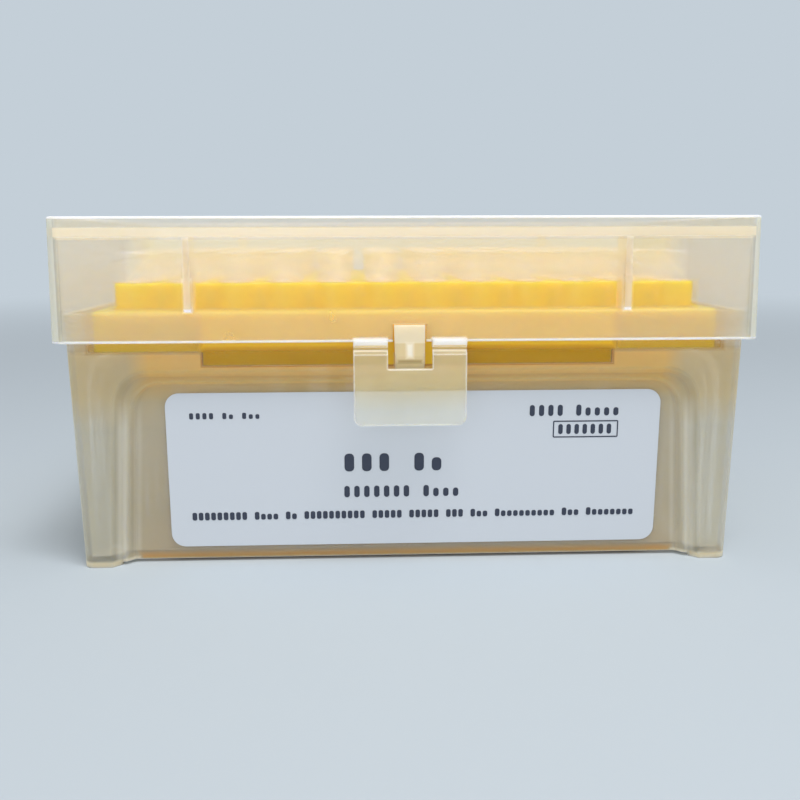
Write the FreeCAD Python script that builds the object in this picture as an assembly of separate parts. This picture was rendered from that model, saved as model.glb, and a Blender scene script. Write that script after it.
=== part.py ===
import FreeCAD, Part
import math
import os

# Box of 96 pipette tips on a 9 mm grid: a tapered base, a lid that swings on two snap
# clips at the back, a flip latch at the front, a yellow rack that carries the tips, and
# a paper label. Millimetres, +X right, -Y front, +Z up. The origin is on the table, in the
# middle of the base.

# ---------------------------------------------------------------- driving dimensions

# tips and their grid
pitch = 9.0
columns = 12
rows = 8
tip_length = 50.1
tip_hub_length = 5.5
tip_neck_r = 2.35
tip_shoulder = 0.9
tip_collar_height = 1.5
tip_waist_r = 1.55
tip_waist_height = 24.0
tip_point_r = 0.62
tip_point_height = 9.0
tip_end_r = 0.42
tip_wall = 0.45
tip_socket_depth = 1.5
tip_end_wall = 0.18
tip_floor_gap = 5.1
tip_seat_gap = 0.05

# rack
rack_hole_gap = 0.25
rack_hole_chamfer = 0.2
rack_deck = 1.6
rack_wall = 1.4
rack_valley_wall = 1.15
rack_block_height = 4.85
rack_sleeve_wall = 1.0
rack_sleeve_drop = 4.4
rack_scallop_angle = 40.0
rack_flange_end = 3.2
rack_flange_front = 4.2
rack_skirt_drop = 7.2
rack_tab_drop = 9.65
rack_tab_end_gap = 19.6
rack_corner_r = 2.0
rack_block_corner_r = 1.8
rack_edge_round = 0.35

# base
base_wall = 1.2
base_floor = 1.3
base_end_gap = 3.1
base_front_gap = 0.85
base_rim_below_flange = 0.1
base_end_draft = 1.2
base_front_draft = 1.4
base_corner_r = 1.9
foot_relief = 0.6
relief_reach = 4.0
column_width = 6.6
step_width = 2.2
panel_narrowing = 2.0
outer_step_foot = 1.6
outer_step_top = 1.3
panel_depth_foot = 3.1
panel_depth_top = 2.1
panel_below_step = 1.5
arch_r = 5.0
step_flare = 0.9
step_round = 0.7
rack_seat_gap = 0.05

# lid
lid_wall = 1.2
lid_gap = 0.4
lid_end_gap = 0.75
lid_draft = 0.7
lid_corner_r = 2.6
lid_lap = 5.05
lid_tip_gap = 2.7
lid_plate = 1.6
lid_stack_rim = 1.9
lid_edge_round = 0.3
rib_width = 1.2
rib_inset = 11.0
rib_rack_gap = 2.2
rib_foot_gap = 0.2

# latch and catch
latch_width = 19.8
latch_below_hinge = 13.6
latch_thickness = 1.2
latch_stand_off = 0.95
latch_corner_r = 1.5
latch_notch_width = 7.8
latch_notch_below_hinge = 3.55
latch_hinge_below_rim = 1.05
web_thickness = 0.35
web_axis_gap = 0.2
latch_bevel = 0.8
boss_bevel = 1.1
boss_height = 1.55
catch_width = 5.5
catch_foot_width = 5.1
catch_height = 7.6
catch_top_setback = 0.9
catch_ramp_setback = 0.35
catch_ramp_height = 3.2
catch_nose_height = 2.2
catch_lip_height = 1.1
catch_lip_setback = 0.5
catch_notch_gap = 0.1
catch_latch_gap = 0.25
catch_side_gap = 0.2
catch_top_gap = 0.2

# rear hinge
hinge_x = 30.0
hinge_bar_r = 1.2
hinge_running_gap = 0.08
hinge_clip_wall = 1.1
hinge_clip_width = 8.0
hinge_side_gap = 0.4
hinge_mouth = 1.9
hinge_ear_width = 2.2
hinge_ear_r = 1.6
hinge_lid_gap = 0.4
hinge_arm_drop = 5.0
hinge_axis_below_rim = 0.1
hinge_arm_shoulder = 0.3
hinge_clip_bridge = 0.4

# label
label_thickness = 0.12
label_corner_r = 2.6
label_side_gap = 5.65
label_top_gap = 1.55
label_foot_gap = 2.95
label_shift = 1.2

# ---------------------------------------------------------------- worked-out sizes

tip_x_end = (columns - 1) * pitch / 2
tip_y_end = (rows - 1) * pitch / 2
tip_hub_r = tip_neck_r + tip_shoulder
hole_r = tip_neck_r + rack_hole_gap
sleeve_r = hole_r + rack_sleeve_wall

floor_top = foot_relief + base_floor
tip_bottom = floor_top + tip_floor_gap
tip_top = tip_bottom + tip_length
deck_top = tip_top - tip_hub_length - tip_seat_gap
flange_top = deck_top - rack_block_height
skirt_bottom = flange_top - rack_skirt_drop
tab_bottom = flange_top - rack_tab_drop

block_half_w = tip_x_end + sleeve_r
block_half_d = tip_y_end + sleeve_r
flange_half_w = block_half_w + rack_flange_end
flange_half_d = block_half_d + rack_flange_front

rim_top = flange_top - base_rim_below_flange
rim_half_w = flange_half_w + base_end_gap + base_wall
rim_half_d = flange_half_d + base_front_gap + base_wall
end_slope = math.tan(math.radians(base_end_draft))
front_slope = math.tan(math.radians(base_front_draft))
foot_half_w = rim_half_w - rim_top * end_slope
foot_half_d = rim_half_d - rim_top * front_slope
ledge_top = tab_bottom - rack_seat_gap
ledge_wall_y = rim_half_d - (rim_top - ledge_top) * front_slope
ledge_reach = flange_half_d - (ledge_wall_y - outer_step_top - base_wall)
outer_step_height = ledge_top - base_wall - ledge_reach * step_flare
panel_height = outer_step_height - panel_below_step

lid_bottom = rim_top - lid_lap
lid_slope = math.tan(math.radians(lid_draft))
plate_bottom = tip_top + lid_tip_gap
plate_top = plate_bottom + lid_plate
lid_top = plate_top + lid_stack_rim
lid_half_w = rim_half_w + lid_end_gap + lid_wall + lid_lap * lid_slope
lid_half_d = rim_half_d + lid_gap + lid_wall + lid_lap * lid_slope

latch_back_y = -(lid_half_d + latch_stand_off)
latch_front_y = latch_back_y - latch_thickness
latch_axis_y = latch_back_y - web_thickness / 2
latch_axis_z = lid_bottom - latch_hinge_below_rim
latch_bottom = latch_axis_z - latch_below_hinge
latch_notch_bottom = latch_axis_z - latch_notch_below_hinge
catch_bottom = latch_notch_bottom - catch_notch_gap
catch_top = catch_bottom + catch_height

hinge_axis_y = lid_half_d + hinge_lid_gap + hinge_ear_r
hinge_axis_z = lid_bottom - hinge_axis_below_rim
clip_inner_r = hinge_bar_r + hinge_running_gap
clip_outer_r = clip_inner_r + hinge_clip_wall

# room for a cutter to pass a face, so that no cut ends on it
past = 1.0


# ---------------------------------------------------------------- outlines and solids

def vec(x, y, z):
    return FreeCAD.Vector(x, y, z)


def rounded_wire(corners, radii):
    """Closed wire through the corner points, with each corner rounded to its radius."""
    count = len(corners)
    edges = []
    previous_end = None
    first_start = None
    for i in range(count):
        here = corners[i]
        back = (corners[i - 1] - here).normalize()
        ahead = (corners[(i + 1) % count] - here).normalize()
        half = back.getAngle(ahead) / 2
        radius = radii[i]
        if radius > 0:
            reach = radius / math.tan(half)
            start = here + back * reach
            end = here + ahead * reach
            inward = (back + ahead).normalize()
            middle = here + inward * (radius / math.sin(half) - radius)
            arc = Part.Arc(start, middle, end).toShape()
        else:
            start = here
            end = here
            arc = None
        if previous_end is not None:
            edges.append(Part.makeLine(previous_end, start))
        else:
            first_start = start
        if arc is not None:
            edges.append(arc)
        previous_end = end
    edges.append(Part.makeLine(previous_end, first_start))
    return Part.Wire(edges)


def rectangle(half_w, half_d, radius, z):
    """Rounded rectangle about the Z axis, at height z."""
    corners = [
        vec(-half_w, -half_d, z),
        vec(half_w, -half_d, z),
        vec(half_w, half_d, z),
        vec(-half_w, half_d, z),
    ]
    return rounded_wire(corners, [radius] * 4)


def drafted_box(low, high):
    """Solid between two rounded rectangles, each (half width, half depth, radius, z)."""
    return Part.makeLoft([rectangle(*low), rectangle(*high)], True, True)


def straight_box(half_w, half_d, radius, z_low, z_high):
    """Upright prism on a rounded rectangle."""
    face = Part.Face(rectangle(half_w, half_d, radius, z_low))
    return face.extrude(vec(0, 0, z_high - z_low))


def block(x0, x1, y0, y1, z0, z1):
    """Plain box between two corners."""
    return Part.makeBox(x1 - x0, y1 - y0, z1 - z0, vec(x0, y0, z0))


def prism_x(points, x0, x1):
    """Prism along X on a closed outline of (y, z) points."""
    loop = [vec(x0, y, z) for y, z in points]
    face = Part.Face(Part.makePolygon(loop + loop[:1]))
    return face.extrude(vec(x1 - x0, 0, 0))


def rod_x(radius, x0, x1, y, z):
    """Round rod along X."""
    return Part.makeCylinder(radius, x1 - x0, vec(x0, y, z), vec(1, 0, 0))


def round_edges(solid, radius, wanted):
    """The solid with a rounding on each edge that wanted(edge) picks."""
    edges = [edge for edge in solid.Edges if wanted(edge)]
    return solid.makeFillet(radius, edges)


def level(edge, z):
    """True for an edge that lies at height z all along."""
    box = edge.BoundBox
    return abs(box.ZMin - z) < 1e-4 and abs(box.ZMax - z) < 1e-4


def turn_across(solid, edge):
    """Angle in degrees between the two faces that meet at an edge."""
    first, last = edge.ParameterRange
    point = edge.valueAt((first + last) / 2)
    normals = []
    for face in solid.ancestorsOfType(edge, Part.Face):
        u, v = face.Surface.parameter(point)
        normals.append(face.normalAt(u, v))
    if len(normals) < 2:
        return 0
    return math.degrees(normals[0].getAngle(normals[1]))


def turned(shape, degrees):
    """Copy of a shape, turned about the Z axis."""
    copy = shape.copy()
    copy.rotate(vec(0, 0, 0), vec(0, 0, 1), degrees)
    return copy


# ---------------------------------------------------------------- base

def arch(half_foot, half_top, top, radius, y, foot):
    """Upright outline at depth y: open foot, sides that lean in, rounded top corners."""
    lean = (half_foot - half_top) / top
    corners = [
        vec(-half_foot - lean * foot, y, -foot),
        vec(half_foot + lean * foot, y, -foot),
        vec(half_top, y, top),
        vec(-half_top, y, top),
    ]
    return rounded_wire(corners, [0, 0, radius, radius])


def recess_cutter(half_foot, top, depth_foot, depth_top, wall_y, slope, grow):
    """Cutter for one step of a front recess.

    It leaves a leaning panel behind a flared, rounded edge. With grow it is the same
    recess seen from inside the wall, so that the wall keeps its thickness.
    """
    foot = past + grow
    half_top = half_foot - panel_narrowing
    lean = (depth_foot - depth_top) / outer_step_height + slope
    reach = depth_foot + foot * lean + past
    flare = reach * step_flare
    small = arch(half_foot + grow, half_top + grow, top + grow, arch_r + grow, 0, foot)
    large = arch(
        half_foot + grow + flare,
        half_top + grow + flare,
        top + grow + flare,
        arch_r + grow + flare,
        -reach - grow,
        foot,
    )
    cutter = Part.makeLoft([small, large], True, True)
    cutter = round_edges(
        cutter,
        step_round + grow,
        lambda edge: abs(edge.BoundBox.YMax) < 1e-4
        and abs(edge.BoundBox.YMin) < 1e-4
        and edge.BoundBox.ZMax > 0,
    )
    cutter.rotate(vec(0, 0, 0), vec(1, 0, 0), math.degrees(math.atan(lean)))
    cutter.translate(vec(0, -wall_y + depth_foot + grow, 0))
    return cutter


def recess_cutters(grow):
    """The two steps of the recess on each of the four sides."""
    sides = [
        (foot_half_w - column_width, foot_half_d, front_slope, (0, 180)),
        (foot_half_d - column_width, foot_half_w, end_slope, (90, 270)),
    ]
    cutters = []
    for half_foot, wall_y, slope, turns in sides:
        outer = recess_cutter(
            half_foot, outer_step_height, outer_step_foot, outer_step_top, wall_y, slope, grow
        )
        panel = recess_cutter(
            half_foot - step_width, panel_height, panel_depth_foot, panel_depth_top, wall_y, slope, grow
        )
        for turn in turns:
            cutters.append(turned(outer, turn))
            cutters.append(turned(panel, turn))
    return cutters


def foot_reliefs():
    """Shallow cuts under the panels, so that the base stands on its middle and corners."""
    foot_x = foot_half_w - column_width
    foot_y = foot_half_d - column_width
    pad_x = foot_half_w - panel_depth_foot - relief_reach
    pad_y = foot_half_d - panel_depth_foot - relief_reach
    cuts = []
    for side in (-1, 1):
        y0 = min(side * pad_y, side * rim_half_d)
        x0 = min(side * pad_x, side * rim_half_w)
        y1 = max(side * pad_y, side * rim_half_d)
        x1 = max(side * pad_x, side * rim_half_w)
        cuts.append(block(-foot_x, foot_x, y0, y1, -past, foot_relief))
        cuts.append(block(x0, x1, -foot_y, foot_y, -past, foot_relief))
    return cuts


def catch_lug():
    """Wedge on the front of the base that the latch closes over."""
    root_y = -(rim_half_d - base_wall / 2)
    nose_y = latch_back_y + catch_latch_gap
    outline = [
        (root_y, catch_top),
        (nose_y + catch_top_setback, catch_top),
        (nose_y + catch_ramp_setback, catch_top - catch_ramp_height),
        (nose_y, catch_bottom + catch_nose_height),
        (nose_y, catch_bottom + catch_lip_height),
        (nose_y + catch_lip_setback, catch_bottom),
        (root_y, catch_bottom),
    ]
    half = catch_width / 2
    foot_half = catch_foot_width / 2
    wedge = prism_x(outline, -half, half)
    corners = [
        vec(-foot_half, nose_y - past, catch_bottom),
        vec(foot_half, nose_y - past, catch_bottom),
        vec(half, nose_y - past, catch_top),
        vec(-half, nose_y - past, catch_top),
    ]
    sides = Part.Face(Part.makePolygon(corners + corners[:1]))
    return wedge.common(sides.extrude(vec(0, root_y - nose_y + 2 * past, 0)))


def hinge_bracket(centre):
    """Two ears and the bar between them, on the back of the base."""
    inner = hinge_clip_width / 2 + hinge_side_gap
    outer = inner + hinge_ear_width
    wall_y = rim_half_d - base_wall / 2
    shoulder = hinge_axis_z - hinge_arm_shoulder
    arm = [
        (wall_y, hinge_axis_z - hinge_ear_r - hinge_arm_drop),
        (hinge_axis_y + hinge_ear_r, hinge_axis_z - hinge_ear_r),
        (hinge_axis_y + hinge_ear_r, hinge_axis_z),
        (hinge_axis_y - hinge_ear_r, hinge_axis_z),
        (hinge_axis_y - hinge_ear_r, shoulder),
        (wall_y, shoulder),
    ]
    pieces = [rod_x(hinge_bar_r, centre - outer, centre + outer, hinge_axis_y, hinge_axis_z)]
    for start in (centre - outer, centre + inner):
        end = start + hinge_ear_width
        pieces.append(prism_x(arm, start, end))
        pieces.append(rod_x(hinge_ear_r, start, end, hinge_axis_y, hinge_axis_z))
    return pieces


def make_base():
    """One-piece tray with four corner columns, recessed panels, catch and hinge ears."""
    outer = drafted_box(
        (foot_half_w, foot_half_d, base_corner_r, 0),
        (rim_half_w, rim_half_d, base_corner_r, rim_top),
    )
    outer = outer.cut(recess_cutters(0))
    flared = [edge for edge in outer.Edges if 20 < turn_across(outer, edge) < 70]
    outer = outer.makeFillet(step_round, flared)
    outer = outer.cut(foot_reliefs())

    inside_r = base_corner_r - base_wall
    cavity = drafted_box(
        (foot_half_w + floor_top * end_slope - base_wall,
         foot_half_d + floor_top * front_slope - base_wall, inside_r, floor_top),
        (rim_half_w + past * end_slope - base_wall,
         rim_half_d + past * front_slope - base_wall, inside_r, rim_top + past),
    )
    cavity = cavity.cut(recess_cutters(base_wall))
    fittings = [catch_lug()]
    for centre in (-hinge_x, hinge_x):
        fittings += hinge_bracket(centre)
    return outer.fuse(fittings).removeSplitter().cut(cavity)


# ---------------------------------------------------------------- rack

def scalloped_wire(z):
    """Outline of the raised block: a bulge at each outer hole, hollows between, crisp corners."""
    angle = math.radians(rack_scallop_angle)
    bulge_r = sleeve_r
    hollow_r = pitch / 2 / math.sin(angle) - bulge_r
    sides = [
        (columns, block_half_d, 0),
        (rows, block_half_w, 90),
        (columns, block_half_d, 180),
        (rows, block_half_w, 270),
    ]
    edges = []
    for count, half, turn in sides:
        centre_y = -half + bulge_r
        side_edges = []
        for i in range(count):
            x = (i - (count - 1) / 2) * pitch
            left = vec(x - bulge_r * math.sin(angle), centre_y - bulge_r * math.cos(angle), z)
            right = vec(x + bulge_r * math.sin(angle), centre_y - bulge_r * math.cos(angle), z)
            crest = vec(x, centre_y - bulge_r, z)
            if 0 < i < count - 1:
                side_edges.append(Part.Arc(left, crest, right).toShape())
            if i < count - 1:
                valley_y = centre_y - bulge_r * math.cos(angle) + hollow_r * (1 - math.cos(angle))
                valley = vec(x + pitch / 2, valley_y, z)
                next_left = vec(x + pitch - bulge_r * math.sin(angle), left.y, z)
                side_edges.append(Part.Arc(right, valley, next_left).toShape())
        for edge in side_edges:
            edge.rotate(vec(0, 0, 0), vec(0, 0, 1), turn)
        edges += side_edges
    half_angle = angle / 2
    corner_r = rack_block_corner_r
    corners = []
    for sx, sy in ((1, -1), (1, 1), (-1, 1), (-1, -1)):
        cx = sx * (block_half_w - bulge_r)
        cy = sy * (block_half_d - bulge_r)
        turn_x = sx * (block_half_w - corner_r)
        turn_y = sy * (block_half_d - corner_r)

        def off_front(a):
            return vec(cx - sx * bulge_r * math.sin(a), cy + sy * bulge_r * math.cos(a), z)

        def off_end(a):
            return vec(cx + sx * bulge_r * math.cos(a), cy - sy * bulge_r * math.sin(a), z)

        front = vec(turn_x, sy * block_half_d, z)
        end = vec(sx * block_half_w, turn_y, z)
        diagonal = corner_r / math.sqrt(2)
        middle = vec(turn_x + sx * diagonal, turn_y + sy * diagonal, z)
        corners.append(Part.Arc(off_front(angle), off_front(half_angle), off_front(0)).toShape())
        corners.append(Part.makeLine(off_front(0), front))
        corners.append(Part.Arc(front, middle, end).toShape())
        corners.append(Part.makeLine(end, off_end(0)))
        corners.append(Part.Arc(off_end(0), off_end(half_angle), off_end(angle)).toShape())
    return Part.Wire(Part.sortEdges(edges + corners)[0])


def make_rack():
    """Hollow tray: a deck of holes on a scalloped block, with a flange and a skirt."""
    bulge = Part.Face(scalloped_wire(flange_top - rack_wall)).extrude(
        vec(0, 0, rack_block_height + rack_wall)
    )
    bulge = round_edges(bulge, rack_edge_round, lambda edge: level(edge, deck_top))
    skirt = straight_box(flange_half_w, flange_half_d, rack_corner_r, skirt_bottom, flange_top)
    skirt = round_edges(skirt, rack_edge_round, lambda edge: level(edge, flange_top))
    hollow = straight_box(
        flange_half_w - rack_wall,
        flange_half_d - rack_wall,
        rack_corner_r - rack_wall,
        skirt_bottom - past,
        flange_top - rack_wall,
    )
    skirt = skirt.cut(hollow)
    tab_half = flange_half_w - rack_tab_end_gap
    tabs = []
    for side in (-1, 1):
        outer_y = side * flange_half_d
        inner_y = side * (flange_half_d - rack_wall)
        tabs.append(
            block(-tab_half, tab_half, min(outer_y, inner_y), max(outer_y, inner_y),
                  tab_bottom, flange_top - rack_wall)
        )
    shell = bulge.fuse([skirt] + tabs)

    angle = math.radians(rack_scallop_angle)
    scallop = (1 - math.cos(angle)) * pitch / 2 / math.sin(angle)
    room_half_w = block_half_w - scallop - rack_valley_wall
    room_half_d = block_half_d - scallop - rack_valley_wall
    room = straight_box(room_half_w, room_half_d, rack_wall, skirt_bottom, deck_top - rack_deck)
    shell = shell.cut(room)

    sleeves = []
    bores = []
    sleeve_bottom = deck_top - rack_deck - rack_sleeve_drop
    bore_profile = [
        vec(0, 0, sleeve_bottom - past),
        vec(hole_r, 0, sleeve_bottom - past),
        vec(hole_r, 0, deck_top - rack_hole_chamfer),
        vec(hole_r + rack_hole_chamfer + past, 0, deck_top + past),
        vec(0, 0, deck_top + past),
    ]
    bore_face = Part.Face(Part.makePolygon(bore_profile + bore_profile[:1]))
    bore = bore_face.revolve(vec(0, 0, 0), vec(0, 0, 1), 360)
    for x, y in tip_places():
        foot = vec(x, y, sleeve_bottom)
        sleeves.append(Part.makeCylinder(sleeve_r, deck_top - rack_deck / 2 - sleeve_bottom, foot))
        bores.append(bore.translated(vec(x, y, 0)))
    return shell.fuse(sleeves).cut(bores)


# ---------------------------------------------------------------- tips

def tip_places():
    """Centre of each tip, column by column from the left, front to back."""
    places = []
    for column in range(columns):
        for row in range(rows):
            places.append((column * pitch - tip_x_end, row * pitch - tip_y_end))
    return places


def make_tip():
    """One tip: a hollow cone that hangs by the shoulder under its hub."""
    shoulder = tip_length - tip_hub_length
    outer = [
        (tip_end_r, 0),
        (tip_point_r, tip_point_height),
        (tip_waist_r, tip_waist_height),
        (tip_neck_r, shoulder - tip_collar_height),
        (tip_neck_r, shoulder),
        (tip_hub_r, shoulder),
        (tip_hub_r, tip_length),
    ]
    inner = [
        (tip_hub_r - tip_wall, tip_length),
        (tip_hub_r - tip_wall, tip_length - tip_socket_depth),
        (tip_neck_r - tip_wall, shoulder),
        (tip_neck_r - tip_wall, shoulder - tip_collar_height),
        (tip_waist_r - tip_wall, tip_waist_height),
        (tip_point_r - (tip_wall + tip_end_wall) / 2, tip_point_height),
        (tip_end_r - tip_end_wall, 0),
    ]
    points = [vec(r, 0, z) for r, z in outer + inner]
    face = Part.Face(Part.makePolygon(points + points[:1]))
    tip = face.revolve(vec(0, 0, 0), vec(0, 0, 1), 360)
    return tip.translated(vec(0, 0, tip_bottom))


def make_tip_columns():
    """Twelve groups of eight separate tips, one group for each column of the rack."""
    tip = make_tip()
    places = tip_places()
    groups = []
    for column in range(columns):
        column_places = places[column * rows:(column + 1) * rows]
        groups.append(Part.makeCompound([tip.translated(vec(x, y, 0)) for x, y in column_places]))
    return groups


# ---------------------------------------------------------------- lid

def latch_boss(x0, x1):
    """Bevelled bar on the front rim that carries the web of one leg of the latch."""
    root_y = -(lid_half_d - lid_wall / 2)
    bottom = latch_axis_z + web_axis_gap
    web_y = latch_back_y - web_thickness
    bar = [
        (root_y, bottom + boss_height),
        (latch_front_y, bottom + boss_height),
        (latch_front_y, bottom + boss_bevel),
        (web_y, bottom),
        (root_y, bottom),
    ]
    return prism_x(bar, x0, x1)


def hold_down(x, side):
    """Upright rib inside the lid that keeps the rack down."""
    wall_y = lid_half_d - lid_wall / 2
    inner_y = block_half_d + rib_rack_gap
    y0 = min(side * wall_y, side * inner_y)
    y1 = max(side * wall_y, side * inner_y)
    half = rib_width / 2
    return block(x - half, x + half, y0, y1, flange_top + rib_foot_gap, plate_bottom + lid_plate / 2)


def hinge_clip(centre):
    """Hook on the back of the lid that snaps over a hinge bar from above."""
    half = hinge_clip_width / 2
    ring = rod_x(clip_outer_r, centre - half, centre + half, hinge_axis_y, hinge_axis_z)
    root_y = lid_half_d - lid_wall / 2
    gusset_foot = hinge_axis_z + hinge_arm_shoulder
    gusset = [
        (root_y, gusset_foot),
        (hinge_axis_y + clip_outer_r, gusset_foot),
        (hinge_axis_y, hinge_axis_z + clip_outer_r + hinge_clip_bridge),
        (root_y, hinge_axis_z + 2 * clip_outer_r),
    ]
    body = ring.fuse(prism_x(gusset, centre - half, centre + half))
    bore = rod_x(clip_inner_r, centre - half - past, centre + half + past, hinge_axis_y, hinge_axis_z)
    mouth = block(
        centre - half - past,
        centre + half + past,
        hinge_axis_y - hinge_mouth / 2,
        hinge_axis_y + hinge_mouth / 2,
        hinge_axis_z - clip_outer_r - past,
        hinge_axis_z,
    )
    return body, [bore, mouth]


def make_lid():
    """Drafted cover with a stacking rim, hold-down ribs, latch bosses and hinge clips."""
    height = lid_top - lid_bottom
    outer = drafted_box(
        (lid_half_w, lid_half_d, lid_corner_r, lid_bottom),
        (lid_half_w - height * lid_slope, lid_half_d - height * lid_slope, lid_corner_r, lid_top),
    )
    outer = round_edges(outer, lid_edge_round, lambda edge: level(edge, lid_top))
    inside_r = lid_corner_r - lid_wall
    lean = (plate_bottom - lid_bottom + past) * lid_slope
    under = drafted_box(
        (lid_half_w - lid_wall + past * lid_slope,
         lid_half_d - lid_wall + past * lid_slope, inside_r, lid_bottom - past),
        (lid_half_w - lid_wall - lean + past * lid_slope,
         lid_half_d - lid_wall - lean + past * lid_slope, inside_r, plate_bottom),
    )
    rim_lean = (lid_top - lid_bottom) * lid_slope
    tray = straight_box(
        lid_half_w - lid_wall - rim_lean,
        lid_half_d - lid_wall - rim_lean,
        inside_r,
        plate_top,
        lid_top + past,
    )
    shell = outer.cut([under, tray])

    rib_x = tip_x_end - rib_inset
    parts = [hold_down(x, side) for x in (-rib_x, rib_x) for side in (-1, 1)]
    outer_x = latch_width / 2
    inner_x = latch_notch_width / 2
    parts.append(latch_boss(-outer_x, -inner_x))
    parts.append(latch_boss(inner_x, outer_x))
    cuts = []
    for centre in (-hinge_x, hinge_x):
        body, openings = hinge_clip(centre)
        parts.append(body)
        cuts += openings
    notch_half = catch_width / 2 + catch_side_gap
    cuts.append(
        block(-notch_half, notch_half, -lid_half_d - past, -lid_half_d + lid_wall + past,
              lid_bottom - past, catch_top + catch_top_gap)
    )
    return shell.fuse(parts).cut(cuts)


def make_latch():
    """Flap on two legs that hangs from the front rim of the lid and covers the catch."""
    web_y = latch_back_y - web_thickness
    shoulder = latch_axis_z - web_axis_gap
    section = [
        (latch_back_y, latch_bottom),
        (latch_front_y, latch_bottom),
        (latch_front_y, shoulder - latch_bevel),
        (web_y, shoulder),
        (latch_back_y, shoulder),
    ]
    half = latch_width / 2
    flap = prism_x(section, -half, half)
    corners = [
        vec(-half, latch_front_y - past, latch_bottom),
        vec(half, latch_front_y - past, latch_bottom),
        vec(half, latch_front_y - past, latch_axis_z),
        vec(-half, latch_front_y - past, latch_axis_z),
    ]
    outline = Part.Face(rounded_wire(corners, [latch_corner_r, latch_corner_r, 0, 0]))
    flap = flap.common(outline.extrude(vec(0, latch_thickness + 2 * past, 0)))
    notch_half = latch_notch_width / 2
    notch = block(-notch_half, notch_half, latch_front_y - past, latch_back_y + past,
                  latch_notch_bottom, latch_axis_z + past)
    return flap.cut(notch)


# ---------------------------------------------------------------- label

def make_label():
    """Paper label with round corners, stuck on the leaning front panel."""
    lean = (panel_depth_foot - panel_depth_top) / outer_step_height + front_slope
    panel_half = foot_half_w - column_width - step_width
    half = panel_half - label_side_gap
    top = panel_height - label_top_gap
    corners = [
        vec(label_shift - half, 0, label_foot_gap),
        vec(label_shift + half, 0, label_foot_gap),
        vec(label_shift + half, 0, top),
        vec(label_shift - half, 0, top),
    ]
    sheet = Part.Face(rounded_wire(corners, [label_corner_r] * 4)).extrude(vec(0, -label_thickness, 0))
    sheet.rotate(vec(0, 0, 0), vec(1, 0, 0), math.degrees(math.atan(lean)))
    sheet.translate(vec(0, -foot_half_d + panel_depth_foot, 0))
    return sheet


# ---------------------------------------------------------------- files

os.makedirs("parts", exist_ok=True)
nodes = {
    "base": make_base(),
    "lid": make_lid(),
    "front_latch": make_latch(),
    "tip_rack": make_rack(),
    "label": make_label(),
}
for number, group in enumerate(make_tip_columns(), 1):
    nodes["tip_column_%02d" % number] = group
for name, shape in nodes.items():
    shape.exportStep(os.path.join("parts", name + ".step"))
    print("%-14s %3d solids %9.1f mm3  valid %s" % (name, len(shape.Solids), shape.Volume, shape.isValid()))
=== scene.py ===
import bmesh
import bpy
import math
from mathutils import Matrix, Vector


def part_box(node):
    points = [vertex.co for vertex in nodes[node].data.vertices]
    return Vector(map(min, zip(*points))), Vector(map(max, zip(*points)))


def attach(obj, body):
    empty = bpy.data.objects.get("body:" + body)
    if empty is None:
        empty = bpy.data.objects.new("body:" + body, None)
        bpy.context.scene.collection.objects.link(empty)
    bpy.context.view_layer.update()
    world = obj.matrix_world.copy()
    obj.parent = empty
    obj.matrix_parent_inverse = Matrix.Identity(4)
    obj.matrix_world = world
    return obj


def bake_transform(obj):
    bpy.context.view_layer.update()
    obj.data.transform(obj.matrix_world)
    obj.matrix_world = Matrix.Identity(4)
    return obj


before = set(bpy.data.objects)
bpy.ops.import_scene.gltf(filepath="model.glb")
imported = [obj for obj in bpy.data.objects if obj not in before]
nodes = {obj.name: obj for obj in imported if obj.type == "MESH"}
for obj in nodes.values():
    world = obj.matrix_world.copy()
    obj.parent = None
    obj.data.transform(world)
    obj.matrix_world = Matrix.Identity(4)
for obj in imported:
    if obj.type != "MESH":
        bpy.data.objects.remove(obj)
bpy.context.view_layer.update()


# ---------------------------------------------------------------- base
# The tray is one thin-walled moulding of natural polypropylene. It is milky, and clearer
# near the rim, where the wall is polished. It stands on its four columns.

def colour(red, green, blue):
    """Linear colour from the 0 to 255 values of a paint chart."""
    linear = []
    for value in (red, green, blue):
        part = value / 255
        linear.append(part / 12.92 if part <= 0.04045 else ((part + 0.055) / 1.055) ** 2.4)
    return (*linear, 1.0)


def new_material(name):
    """Empty node material, with its tree and its Principled node."""
    material = bpy.data.materials.new(name)
    material.use_nodes = True
    tree = material.node_tree
    return material, tree, tree.nodes["Principled BSDF"]


def add_node(tree, kind, **settings):
    """New node of a kind, with its settings; a setting named in_3 is the value of input 3."""
    node = tree.nodes.new(kind)
    for key, value in settings.items():
        if key.startswith("in_"):
            socket = key[3:]
            node.inputs[int(socket) if socket.isdigit() else socket].default_value = value
        else:
            setattr(node, key, value)
    return node


def math_node(tree, operation, first, second=None, clamp=False):
    """Math node whose inputs are sockets or numbers; gives its output."""
    node = add_node(tree, "ShaderNodeMath", operation=operation, use_clamp=clamp)
    for index, value in enumerate((first, second)):
        if value is None:
            continue
        if isinstance(value, (int, float)):
            node.inputs[index].default_value = value
        else:
            tree.links.new(value, node.inputs[index])
    return node.outputs[0]


def new_group(name, inputs, outputs):
    """Shader node group with named inputs (name, default) and outputs (name, type)."""
    group = bpy.data.node_groups.new(name, "ShaderNodeTree")
    for label, default in inputs:
        socket = group.interface.new_socket(label, in_out="INPUT", socket_type="NodeSocketFloat")
        socket.default_value = default
    for label, kind in outputs:
        group.interface.new_socket(label, in_out="OUTPUT", socket_type=kind)
    return group, group.nodes.new("NodeGroupInput"), group.nodes.new("NodeGroupOutput")


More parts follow.
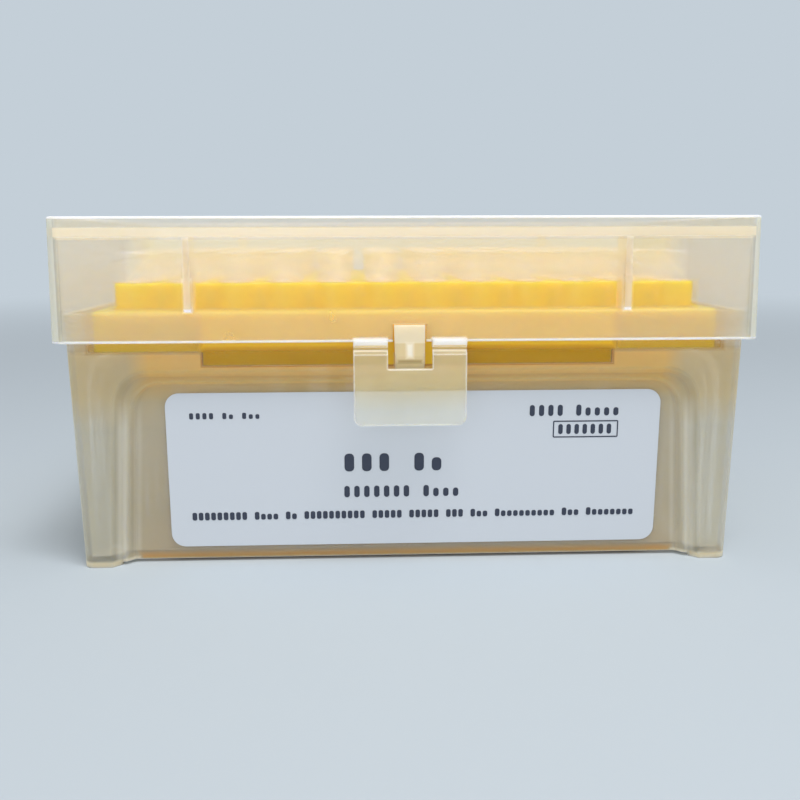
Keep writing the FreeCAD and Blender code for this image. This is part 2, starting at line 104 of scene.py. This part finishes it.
def build_moulding_group():
    """Moulded surface: slow clouds in the haze, an edge mask for denser edges and a painted highlight along
    them, and a faint grain.
    """
    group, given, result = new_group(
        "moulded_plastic",
        [("Cloud Size", 60.0), ("Edge Width", 0.0006), ("Grain", 0.1)],
        [("Clouds", "NodeSocketFloat"), ("Edges", "NodeSocketFloat"), ("Normal", "NodeSocketVector")],
    )
    place = group.nodes.new("ShaderNodeTexCoord")
    clouds = add_node(group, "ShaderNodeTexNoise", in_Detail=3.0, in_Roughness=0.5)
    group.links.new(place.outputs["Object"], clouds.inputs["Vector"])
    group.links.new(given.outputs["Cloud Size"], clouds.inputs["Scale"])
    group.links.new(clouds.outputs["Fac"], result.inputs["Clouds"])

    # The edge mask marks where the edges are denser and where the painted edge highlight goes.
    bevel = add_node(group, "ShaderNodeBevel", samples=6)
    group.links.new(given.outputs["Edge Width"], bevel.inputs["Radius"])
    face = group.nodes.new("ShaderNodeNewGeometry")
    meet = add_node(group, "ShaderNodeVectorMath", operation="DOT_PRODUCT")
    group.links.new(bevel.outputs["Normal"], meet.inputs[0])
    group.links.new(face.outputs["True Normal"], meet.inputs[1])
    turn = math_node(group, "SUBTRACT", 1.0, meet.outputs["Value"])
    edge_gain = 6.0
    edges = math_node(group, "MULTIPLY", turn, edge_gain, clamp=True)
    group.links.new(edges, result.inputs["Edges"])

    grain = add_node(group, "ShaderNodeTexNoise", in_Scale=2600.0, in_Detail=2.0)
    group.links.new(place.outputs["Object"], grain.inputs["Vector"])
    bump = add_node(group, "ShaderNodeBump", in_Distance=0.00002)
    group.links.new(given.outputs["Grain"], bump.inputs["Strength"])
    group.links.new(grain.outputs["Fac"], bump.inputs["Height"])
    group.links.new(bump.outputs["Normal"], result.inputs["Normal"])
    return group


moulding_group = build_moulding_group()


def build_region_group():
    """Soft-edged mask of a box-shaped region of a moulding, in its own frame.

    Left and right are alike, so X counts from the middle: a region lies on both sides.
    With Lean, the region comes closer to the middle as it goes up.
    """
    group = bpy.data.node_groups.new("moulding_region", "ShaderNodeTree")
    for label in ("Centre", "Half Size"):
        group.interface.new_socket(label, in_out="INPUT", socket_type="NodeSocketVector")
    soft = group.interface.new_socket("Softness", in_out="INPUT", socket_type="NodeSocketFloat")
    soft.default_value = 0.0002
    group.interface.new_socket("Lean", in_out="INPUT", socket_type="NodeSocketFloat")
    group.interface.new_socket("Mask", in_out="OUTPUT", socket_type="NodeSocketFloat")
    given, result = group.nodes.new("NodeGroupInput"), group.nodes.new("NodeGroupOutput")
    place = group.nodes.new("ShaderNodeTexCoord")
    parts = add_node(group, "ShaderNodeSeparateXYZ")
    group.links.new(place.outputs["Object"], parts.inputs[0])
    folded = add_node(group, "ShaderNodeCombineXYZ")
    shift = math_node(group, "MULTIPLY", parts.outputs[2], given.outputs["Lean"])
    side = math_node(group, "ABSOLUTE", parts.outputs[0])
    group.links.new(math_node(group, "ADD", side, shift), folded.inputs[0])
    group.links.new(parts.outputs[1], folded.inputs[1])
    group.links.new(parts.outputs[2], folded.inputs[2])
    away = add_node(group, "ShaderNodeVectorMath", operation="SUBTRACT")
    group.links.new(folded.outputs[0], away.inputs[0])
    group.links.new(given.outputs["Centre"], away.inputs[1])
    size = add_node(group, "ShaderNodeVectorMath", operation="ABSOLUTE")
    group.links.new(away.outputs[0], size.inputs[0])
    room = add_node(group, "ShaderNodeVectorMath", operation="SUBTRACT")
    group.links.new(given.outputs["Half Size"], room.inputs[0])
    group.links.new(size.outputs[0], room.inputs[1])
    inside = add_node(group, "ShaderNodeSeparateXYZ")
    group.links.new(room.outputs[0], inside.inputs[0])
    nearest = math_node(group, "MINIMUM", inside.outputs[0], inside.outputs[1])
    nearest = math_node(group, "MINIMUM", nearest, inside.outputs[2])
    ramp = math_node(group, "DIVIDE", nearest, given.outputs["Softness"])
    mask = math_node(group, "ADD", ramp, 0.5, clamp=True)
    group.links.new(mask, result.inputs["Mask"])
    return group


region_group = build_region_group()


def region_mask(tree, low, high, softness=0.0002, lean=0.0):
    """Mask output for the box between two corners, in metres."""
    region = add_node(tree, "ShaderNodeGroup", node_tree=region_group)
    region.inputs["Centre"].default_value = [(a + b) / 2 for a, b in zip(low, high)]
    region.inputs["Half Size"].default_value = [(b - a) / 2 for a, b in zip(low, high)]
    region.inputs["Softness"].default_value = softness
    region.inputs["Lean"].default_value = lean
    return region.outputs["Mask"]


def mix_value(tree, mask, below, above):
    """Number below where the mask is 0 and above where it is 1; each a socket or a number."""
    node = add_node(tree, "ShaderNodeMix", data_type="FLOAT")
    tree.links.new(mask, node.inputs[0])
    for index, value in ((2, below), (3, above)):
        if isinstance(value, (int, float)):
            node.inputs[index].default_value = value
        else:
            tree.links.new(value, node.inputs[index])
    return node.outputs[0]


def mix_colour(tree, mask, below, above):
    """Colour below where the mask is 0 and above where it is 1; each a socket or a colour."""
    node = add_node(tree, "ShaderNodeMix", data_type="RGBA")
    tree.links.new(mask, node.inputs[0])
    for index, value in ((6, below), (7, above)):
        if isinstance(value, tuple):
            node.inputs[index].default_value = value
        else:
            tree.links.new(value, node.inputs[index])
    return node.outputs[2]


def milky_plastic(name, face, edge, haze, edge_haze, roughness, regions=(), plain=(),
                  graze=0.12, shade=1.0, cloud_amount=0.06, edge_width=0.0006):
    """Natural polypropylene: a milky wall that hides more where it is seen aslant.

    Each region is (low corner, high corner, softness, haze, colour), with its lean after
    them if it has one, for a stretch that is thicker or thinner than the rest, or that
    carries painted light or shade: a painted warm glow, highlight or shadow. The edges get
    a painted highlight in the edge colour; each plain box keeps its edges without it.
    Milky walls pass light on, so shade is below 1.
    """
    material, tree, shader = new_material(name)
    moulding = add_node(tree, "ShaderNodeGroup", node_tree=moulding_group)
    moulding.inputs["Grain"].default_value = 0.12
    moulding.inputs["Edge Width"].default_value = edge_width
    slant = add_node(tree, "ShaderNodeLayerWeight", in_Blend=0.5)

    tone, local = face, haze
    for low, high, softness, region_haze, region_colour, *lean in regions:
        mask = region_mask(tree, low, high, softness, *lean)
        local = mix_value(tree, mask, local, region_haze)
        tone = mix_colour(tree, mask, tone, region_colour)
    edges = moulding.outputs["Edges"]
    for low, high in plain:
        dull = math_node(tree, "SUBTRACT", 1.0, region_mask(tree, low, high))
        edges = math_node(tree, "MULTIPLY", edges, dull)
    # The edge colour is a painted highlight along every edge.
    tone = mix_colour(tree, edges, tone, edge)
    tree.links.new(tone, shader.inputs["Base Color"])

    drift = math_node(tree, "SUBTRACT", moulding.outputs["Clouds"], 0.5)
    drift = math_node(tree, "MULTIPLY", drift, cloud_amount)
    local = mix_value(tree, edges, local, edge_haze)
    local = math_node(tree, "ADD", local, drift, clamp=True)
    clear = math_node(tree, "SUBTRACT", 1.0, local)
    cosine = math_node(tree, "SUBTRACT", 1.0, slant.outputs["Facing"])
    cosine = math_node(tree, "MAXIMUM", cosine, graze)
    path = math_node(tree, "DIVIDE", 1.0, cosine)
    seen = math_node(tree, "POWER", clear, path)
    alpha = math_node(tree, "SUBTRACT", 1.0, seen, clamp=True)
    rays = add_node(tree, "ShaderNodeLightPath")
    shadow = math_node(tree, "MULTIPLY", alpha, shade)
    alpha = mix_value(tree, rays.outputs["Is Shadow Ray"], alpha, shadow)
    tree.links.new(alpha, shader.inputs["Alpha"])
    tree.links.new(moulding.outputs["Normal"], shader.inputs["Normal"])
    shader.inputs["Roughness"].default_value = roughness
    shader.inputs["IOR"].default_value = 1.49
    shader.inputs["Subsurface Weight"].default_value = 1.0
    shader.inputs["Subsurface Radius"].default_value = (0.003, 0.0028, 0.0022)
    shader.inputs["Subsurface Scale"].default_value = 1.0
    return material


def dress(node_name, material):
    """Gives every slot of a CAD node the material."""
    for slot in nodes[node_name].material_slots:
        slot.material = material


far_out = 0.08
fold_lean = 0.0606
base_plastic = milky_plastic(
    "base_plastic", colour(216, 211, 192), colour(240, 234, 214),
    haze=0.28, edge_haze=0.5, roughness=0.3, shade=0.7,
    regions=[
        # the recessed panels, thinner than the columns
        ((-0.051, -far_out, 0.002), (0.051, far_out, 0.034), 0.002, 0.34, colour(216, 204, 178)),
        # the two folds at the edge of each recess, thicker than the wall and as aslant as the columns, and
        # painted lighter as a painted highlight
        ((0.0522, -far_out, -0.01), (0.0538, far_out, 0.034), 0.0006, 0.42, colour(234, 228, 212), fold_lean),
        ((0.0499, -far_out, -0.01), (0.0511, far_out, 0.034), 0.0006, 0.38, colour(226, 217, 196), fold_lean),
        # the upper wall and the band over the panels, tinted warm as a painted glow of light from the rack
        # behind them
        ((-far_out, -far_out, 0.0285), (far_out, far_out, far_out), 0.006, 0.42, colour(216, 200, 162)),
        ((-0.048, -far_out, 0.0324), (0.048, far_out, far_out), 0.004, 0.52, colour(240, 196, 116)),
        # the clear wall above the step, and its middle, tinted gold as a painted glow of light from the rack
        # close behind
        ((-far_out, -far_out, 0.0396), (far_out, far_out, far_out), 0.0008, 0.22, colour(222, 208, 176)),
        ((-0.0567, -far_out, 0.0396), (0.0567, far_out, far_out), 0.0008, 0.16, colour(226, 186, 104)),
        # in front of the rack's tab: painted with the tab's gold, darker low down as painted shade and
        # brighter towards the rim as painted light
        ((-0.0368, -far_out, 0.0371), (0.0368, far_out, far_out), 0.0004, 0.2, colour(196, 142, 20)),
        ((-0.0368, -far_out, 0.0403), (0.0368, far_out, far_out), 0.0012, 0.55, colour(255, 206, 50)),
        # the edge of the floor, tinted gold as a painted glow of light from the rack, and the soles of the
        # columns, denser and with a painted highlight along their bevel
        ((-0.05, -far_out, -0.01), (0.05, far_out, 0.0019), 0.0012, 0.6, colour(206, 164, 104)),
        ((0.05, -far_out, -0.01), (far_out, far_out, 0.0011), 0.0005, 0.7, colour(232, 216, 184)),
        # the catch: the wall beside it, painted bright gold where the rack's tab behind it lies in shade; its
        # solid block; its nose; a painted highlight down its middle; and a painted dark line of shade near
        # its foot
        ((-0.0042, -far_out, 0.0373), (0.0042, -0.0395, 0.0413), 0.0003, 0.7, colour(255, 206, 40)),
        ((-0.0029, -far_out, 0.0367), (0.0029, -0.0417, 0.0446), 0.0001, 0.9, colour(226, 216, 188)),
        ((-0.0029, -far_out, 0.0367), (0.0029, -0.0417, 0.0413), 0.0002, 0.72, colour(232, 218, 178)),
        ((-0.0006, -far_out, 0.0387), (0.0006, -0.0417, 0.0413), 0.0007, 0.85, colour(250, 242, 224)),
        ((-0.0021, -far_out, 0.0378), (0.0021, -0.0417, 0.0384), 0.0004, 0.8, colour(176, 160, 116)),
    ],
    plain=[((-far_out, -far_out, 0.0395), (far_out, 0.0425, far_out))],
)
dress("base", base_plastic)


# ---------------------------------------------------------------- rack
# The rack is one moulding of opaque yellow polypropylene, with a sleeve round each of its
# 96 holes. It drops into the tray of the base and lifts out by hand.

rack_plastic, rack_tree, rack_shader = new_material("rack_plastic")
rack_moulding = add_node(rack_tree, "ShaderNodeGroup", node_tree=moulding_group)
# The edges are painted a lighter yellow, a painted highlight.
rack_tone = mix_colour(
    rack_tree, rack_moulding.outputs["Edges"], colour(255, 198, 8), colour(255, 220, 96)
)
rack_tree.links.new(rack_tone, rack_shader.inputs["Base Color"])
rack_tree.links.new(rack_moulding.outputs["Normal"], rack_shader.inputs["Normal"])
rack_shader.inputs["Roughness"].default_value = 0.38
rack_shader.inputs["Subsurface Weight"].default_value = 1.0
rack_shader.inputs["Subsurface Radius"].default_value = (0.006, 0.005, 0.003)
rack_shader.inputs["Subsurface Scale"].default_value = 1.0
dress("tip_rack", rack_plastic)


# ---------------------------------------------------------------- tips
# The 96 tips are thin hollow cones, each moulded in clear polypropylene. They drop into
# the holes of the rack and hang there by their hubs.

# The near-white edge colour is a painted highlight on the tips' rims.
tip_plastic = milky_plastic(
    "tip_plastic", colour(255, 248, 228), colour(255, 254, 250),
    haze=0.09, edge_haze=0.85, roughness=0.2, graze=0.05, shade=0.3,
)
for name in nodes:
    if name.startswith("tip_column"):
        dress(name, tip_plastic)


# ---------------------------------------------------------------- lid
# The lid is a thin-walled cover with a stacking rim, moulded in the same polypropylene as
# the base but clearer, and hooked on two bars at the back. Its walls look denser where
# the plate, the ribs and the side walls are seen edge-on.

plate_low, plate_high = 0.0598, 0.0614
rib_in, rib_out = 0.0379, 0.0391
rib_foot = 0.0469
side_wall = 0.0608
rim_line = 0.0418
dense = colour(242, 228, 204)
white = colour(254, 253, 248)
lid_plastic = milky_plastic(
    "lid_plastic", colour(236, 232, 214), colour(254, 252, 246),
    haze=0.14, edge_haze=0.65, roughness=0.22, shade=0.22,
    regions=[
        # the front wall, tinted warm as a painted glow of light from the rack's block and from the tips
        # behind it
        ((-0.0508, -far_out, 0.0474), (0.0508, -0.0405, 0.0521), 0.0008, 0.16, colour(255, 222, 150)),
        ((-0.0465, -far_out, 0.0545), (0.0465, -0.0405, 0.063), 0.005, 0.36, colour(250, 229, 182)),
        # the plate's edge in the front, back and side walls
        ((-far_out, -far_out, 0.0593), (far_out, -0.041, plate_low), 0.0002, 0.3, colour(232, 218, 188)),
        ((-far_out, -far_out, plate_low), (far_out, -0.041, plate_high), 0.0002, 0.78, dense),
        ((-far_out, 0.041, plate_low), (far_out, far_out, plate_high), 0.0002, 0.78, dense),
        ((side_wall, -0.041, plate_low), (far_out, 0.041, plate_high), 0.0002, 0.78, dense),
        # the front of the stacking rim
        ((-far_out, -far_out, plate_high), (far_out, -0.041, 0.0628), 0.0002, 0.3, colour(208, 204, 186)),
        # the hold-down ribs, denser beside the rack and white at the foot
        ((rib_in, -far_out, rib_foot), (rib_out, far_out, plate_low), 0.0002, 0.4, dense),
        ((rib_in, -far_out, rib_foot), (rib_out, far_out, 0.0525), 0.0008, 0.5, dense),
        ((rib_in, -far_out, rib_foot), (rib_out, far_out, 0.0474), 0.0002, 0.95, white),
        # the side walls, denser where seen edge-on in the front corners, with a painted dark line of shade
        # inside and a painted white highlight on the outer corner
        ((0.0602, -far_out, rim_line), (side_wall, -0.0415, 0.0595), 0.0002, 0.4, colour(182, 180, 162)),
        ((side_wall, -far_out, rim_line), (far_out, -0.0415, 0.0628), 0.0002, 0.56, colour(220, 220, 204)),
        ((0.0622, -far_out, rim_line), (far_out, -0.0425, 0.0628), 0.0001, 0.8, white),
        # a painted highlight along the lower edge, and a painted highlight on the top of the stacking rim
        ((-far_out, -far_out, 0.04), (far_out, 0.0436, 0.04188), 0.0001, 0.9, white),
        ((-far_out, -far_out, 0.0629), (far_out, far_out, 0.07), 0.0002, 0.75, white),
        # the two bars over the latch: white on top as a painted highlight, with a painted shade on the
        # underside
        ((0.0038, -far_out, 0.0406), (0.0101, -0.0432, 0.0412), 0.0001, 0.6, colour(226, 206, 156)),
        ((0.0038, -far_out, 0.0411), (0.0101, -0.0432, 0.0427), 0.0001, 0.95, white),
    ],
    plain=[((-0.0036, -far_out, 0.041), (0.0036, -0.041, 0.046))],
)
dress("lid", lid_plastic)


# ---------------------------------------------------------------- latch
# The latch is a flap with two legs, thinner and whiter than the lid it is moulded with.
# It hangs from the lid's front by the webs and snaps over the catch on the base.

latch_plastic = milky_plastic(
    "latch_plastic", colour(228, 227, 212), colour(254, 253, 248),
    haze=0.3, edge_haze=0.95, roughness=0.25, shade=0.3,
    regions=[
        # the upper half, tinted warm as a painted glow of light from the rack behind it, and a painted
        # highlight on the bevel under the webs
        ((-far_out, -far_out, 0.0315), (far_out, far_out, far_out), 0.004, 0.34, colour(232, 219, 178)),
        ((-far_out, -far_out, 0.03998), (far_out, far_out, 0.0405), 0.0001, 0.8, colour(252, 236, 198)),
    ],
    edge_width=0.0005,
)
dress("front_latch", latch_plastic)


# ---------------------------------------------------------------- webs
# Two thin strips, moulded in one with the lid and the latch, join the latch's legs to the
# bars on the lid's rim. They are the living hinge.

def join_rings(form, first, second):
    """Band of four-sided faces between two rings with the same number of points."""
    for here in range(len(first)):
        after = (here + 1) % len(first)
        form.faces.new((first[here], first[after], second[after], second[here]))


# The webs' golden colour is a painted glow of the rack's gold behind them; their lighter edge colour is a
# painted highlight.
web_plastic = milky_plastic(
    "web_plastic", colour(246, 208, 118), colour(248, 222, 160),
    haze=0.55, edge_haze=0.6, roughness=0.25, shade=0.5,
)
web_top, web_bottom = 0.0408, 0.0402
web_front, web_back = -0.044305, -0.043965
web_inner, web_outer = 0.0039, 0.0099
web_steps = 10
web_waist = 0.00006
for side in (-1, 1):
    form = bmesh.new()
    rings = []
    for step in range(web_steps + 1):
        along = step / web_steps
        z = web_top + (web_bottom - web_top) * along
        waist = web_waist * math.sin(math.pi * along)
        ring = []
        for x, y in (
            (web_inner, web_front + waist), (web_outer, web_front + waist),
            (web_outer, web_back - waist), (web_inner, web_back - waist),
        ):
            ring.append(form.verts.new((side * x, y, z)))
        rings.append(ring)
    for upper, lower in zip(rings, rings[1:]):
        join_rings(form, upper, lower)
    form.faces.new(rings[0])
    form.faces.new(rings[-1])
    bmesh.ops.recalc_face_normals(form, faces=form.faces)
    mesh = bpy.data.meshes.new("latch_web")
    form.to_mesh(mesh)
    form.free()
    mesh.materials.append(web_plastic)
    web = bpy.data.objects.new("latch_web_left" if side < 0 else "latch_web_right", mesh)
    bpy.context.scene.collection.objects.link(web)
    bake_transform(web)


# ---------------------------------------------------------------- label
# The label is white paper, cut with round corners. It is stuck on the front panel of the
# base and leans as the panel does.

label_paper, label_tree, label_shader = new_material("label_paper")
label_grain = add_node(label_tree, "ShaderNodeTexNoise", in_Scale=900.0, in_Detail=4.0)
label_tone = mix_colour(
    label_tree, label_grain.outputs["Fac"], colour(200, 206, 213), colour(207, 212, 219)
)
label_tree.links.new(label_tone, label_shader.inputs["Base Color"])
label_shader.inputs["Roughness"].default_value = 0.5
dress("label", label_paper)


# ---------------------------------------------------------------- label print
# The print is a thin layer of dark ink on the label. It is plain: rows of small rounded
# blocks where text would stand, and a frame.

ink, ink_tree, ink_shader = new_material("label_ink")
ink_grain = add_node(ink_tree, "ShaderNodeTexNoise", in_Scale=1400.0, in_Detail=3.0)
ink_tone = mix_colour(ink_tree, ink_grain.outputs["Fac"], colour(38, 44, 62), colour(54, 62, 80))
ink_tree.links.new(ink_tone, ink_shader.inputs["Base Color"])
ink_shader.inputs["Roughness"].default_value = 0.45

label_low, label_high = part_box("label")
paper_corners = [vertex.co.copy() for vertex in nodes["label"].data.vertices]
near_edge = 0.0005
foot_y = min(v.y for v in paper_corners if v.z < label_low[2] + near_edge)
head_y = min(v.y for v in paper_corners if v.z > label_high[2] - near_edge)
paper_lean = (head_y - foot_y) / (label_high[2] - label_low[2])
ink_front, ink_back = 0.00004, 0.00001
MM = 0.001


def ink_ring(form, outline, lift):
    """Ring of points in front of the label by the lift; the outline is in millimetres."""
    ring = []
    for x, z in outline:
        y = foot_y + paper_lean * (z * MM - label_low[2]) - lift
        ring.append(form.verts.new((x * MM, y, z * MM)))
    return ring


def rounded_outline(x0, x1, z0, z1, radius, corner_steps=4):
    """Corner points of a rounded rectangle on the label, in millimetres."""
    radius = min(radius, 0.49 * (x1 - x0), 0.49 * (z1 - z0))
    points = []
    for cx, cz, start in (
        (x1 - radius, z1 - radius, 0), (x0 + radius, z1 - radius, 90),
        (x0 + radius, z0 + radius, 180), (x1 - radius, z0 + radius, 270),
    ):
        for step in range(corner_steps + 1):
            angle = math.radians(start + 90 * step / corner_steps)
            points.append((cx + radius * math.cos(angle), cz + radius * math.sin(angle)))
    return points


def add_block(form, x0, x1, z0, z1, radius):
    """Thin solid block of ink with round corners."""
    outline = rounded_outline(x0, x1, z0, z1, radius)
    front, back = ink_ring(form, outline, ink_front), ink_ring(form, outline, ink_back)
    form.faces.new(front)
    form.faces.new(back)
    join_rings(form, front, back)


def add_frame(form, x0, x1, z0, z1, radius, line):
    """Thin solid frame of ink, one line wide."""
    outer = rounded_outline(x0, x1, z0, z1, radius)
    inner = rounded_outline(x0 + line, x1 - line, z0 + line, z1 - line, max(radius - line, 0.01))
    rings = []
    for outline, lift in ((outer, ink_front), (inner, ink_front), (inner, ink_back), (outer, ink_back)):
        rings.append(ink_ring(form, outline, lift))
    for first, second in zip(rings, rings[1:] + rings[:1]):
        join_rings(form, first, second)


def add_words(form, x0, x1, base, height, words, fill=0.68):
    """Row of words, each a run of rounded blocks, some of them taller."""
    places = sum(words) + len(words) - 1
    step = (x1 - x0) / places
    x = x0
    count = 0
    low_share, round_share = 0.74, 0.22
    for letters in words:
        for letter in range(letters):
            tall = letter == 0 or (count * 7 + letter * 3) % 5 == 0
            top = base + height * (1.0 if tall else low_share)
            add_block(form, x, x + step * fill, base, top, round_share * height)
            x += step
            count += 1
        x += step


form = bmesh.new()
add_words(form, -39.7, -26.6, 27.25, 1.15, (4, 2, 3), fill=0.6)
add_words(form, 22.2, 39.4, 27.2, 2.1, (4, 5), fill=0.55)
add_frame(form, 26.6, 38.7, 23.1, 26.3, 0.25, 0.22)
add_words(form, 27.6, 38.1, 23.75, 1.9, (7,), fill=0.55)
add_words(form, -11.8, 7.5, 17.1, 3.4, (3, 2), fill=0.55)
add_words(form, -11.9, 10.1, 12.1, 2.2, (7, 4), fill=0.55)
add_words(form, -40.0, 42.6, 8.0, 1.5, (9, 4, 2, 10, 5, 5, 3, 3, 10, 3, 8), fill=0.74)
bmesh.ops.recalc_face_normals(form, faces=form.faces)
mesh = bpy.data.meshes.new("label_print")
form.to_mesh(mesh)
form.free()
mesh.materials.append(ink)
label_print = bpy.data.objects.new("label_print", mesh)
bpy.context.scene.collection.objects.link(label_print)
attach(label_print, "base_body")


# ---------------------------------------------------------------- table, light and camera
# A plain pale table, a soft box above the front with a weak fill, and a camera at eye
# level in front of the box.

backdrop = colour(196, 207, 216)

bpy.ops.mesh.primitive_plane_add(size=12.0)
table = bpy.context.object
table.name = "table"
table_paint, table_tree, table_shader = new_material("table_paint")
table_shader.inputs["Base Color"].default_value = colour(184, 194, 202)
table_shader.inputs["Roughness"].default_value = 0.8
far = add_node(table_tree, "ShaderNodeTexCoord")
length = add_node(table_tree, "ShaderNodeVectorMath", operation="LENGTH")
table_tree.links.new(far.outputs["Object"], length.inputs[0])
fade = add_node(table_tree, "ShaderNodeMapRange", interpolation_type="SMOOTHSTEP")
fade.inputs["From Min"].default_value = 0.15
fade.inputs["From Max"].default_value = 0.9
table_tree.links.new(length.outputs["Value"], fade.inputs["Value"])
glow = add_node(table_tree, "ShaderNodeEmission", in_Color=backdrop)
blend_in = add_node(table_tree, "ShaderNodeMixShader")
table_tree.links.new(fade.outputs[0], blend_in.inputs[0])
table_tree.links.new(table_shader.outputs[0], blend_in.inputs[1])
table_tree.links.new(glow.outputs[0], blend_in.inputs[2])
table_tree.links.new(blend_in.outputs[0], table_tree.nodes["Material Output"].inputs["Surface"])
table.data.materials.append(table_paint)

world = bpy.data.worlds.new("studio")
bpy.context.scene.world = world
world.use_nodes = True
air = world.node_tree
seen_world = air.nodes["Background"]
seen_world.inputs["Color"].default_value = backdrop
light_world = add_node(air, "ShaderNodeBackground")
light_world.inputs["Color"].default_value = (1.0, 1.0, 1.0, 1.0)
light_world.inputs["Strength"].default_value = 0.4
rays = add_node(air, "ShaderNodeLightPath")
seen = math_node(air, "MAXIMUM", rays.outputs["Is Camera Ray"], rays.outputs["Is Glossy Ray"])
seen = math_node(air, "MAXIMUM", seen, rays.outputs["Is Transmission Ray"])
choose = add_node(air, "ShaderNodeMixShader")
air.links.new(seen, choose.inputs[0])
air.links.new(light_world.outputs[0], choose.inputs[1])
air.links.new(seen_world.outputs[0], choose.inputs[2])
air.links.new(choose.outputs[0], air.nodes["World Output"].inputs["Surface"])


def soft_box(name, place, aim, width, depth, power):
    """Rectangular area lamp at a place, turned towards aim."""
    lamp = bpy.data.lights.new(name, "AREA")
    lamp.shape = "RECTANGLE"
    lamp.size = width
    lamp.size_y = depth
    lamp.energy = power
    holder = bpy.data.objects.new(name, lamp)
    bpy.context.scene.collection.objects.link(holder)
    holder.location = place
    holder.rotation_euler = (Vector(aim) - Vector(place)).to_track_quat("-Z", "Y").to_euler()
    return holder


soft_box("key_box", place=(0.14, -0.34, 0.84), aim=(0.0, -0.02, 0.03), width=0.45, depth=0.3, power=6.4)
soft_box("front_fill", place=(-0.4, -1.1, 0.35), aim=(0.0, 0.0, 0.04), width=0.9, depth=0.6, power=3.4)

lens_yaw = math.radians(2.36)
lens_pitch = math.radians(9.72)
lens_roll = math.radians(-0.16)
ahead = Vector((
    math.sin(lens_yaw) * math.cos(lens_pitch),
    math.cos(lens_yaw) * math.cos(lens_pitch),
    -math.sin(lens_pitch),
))
side = Vector((math.cos(lens_yaw), -math.sin(lens_yaw), 0.0))
over = side.cross(ahead)
right = side * math.cos(lens_roll) + over * math.sin(lens_roll)
up = over * math.cos(lens_roll) - side * math.sin(lens_roll)
camera = bpy.data.cameras.new("camera")
camera.sensor_width = 36.0
camera.lens = 42.88
camera.clip_start = 0.01
stand_x, stand_y, stand_z = -0.0086, -0.2093, 0.0597
eye = bpy.data.objects.new("camera", camera)
bpy.context.scene.collection.objects.link(eye)
eye.matrix_world = Matrix((
    (right.x, up.x, -ahead.x, stand_x),
    (right.y, up.y, -ahead.y, stand_y),
    (right.z, up.z, -ahead.z, stand_z),
    (0.0, 0.0, 0.0, 1.0),
))
scene = bpy.context.scene
scene.camera = eye
scene.view_settings.view_transform = "Standard"
scene.cycles.transparent_max_bounces = 64
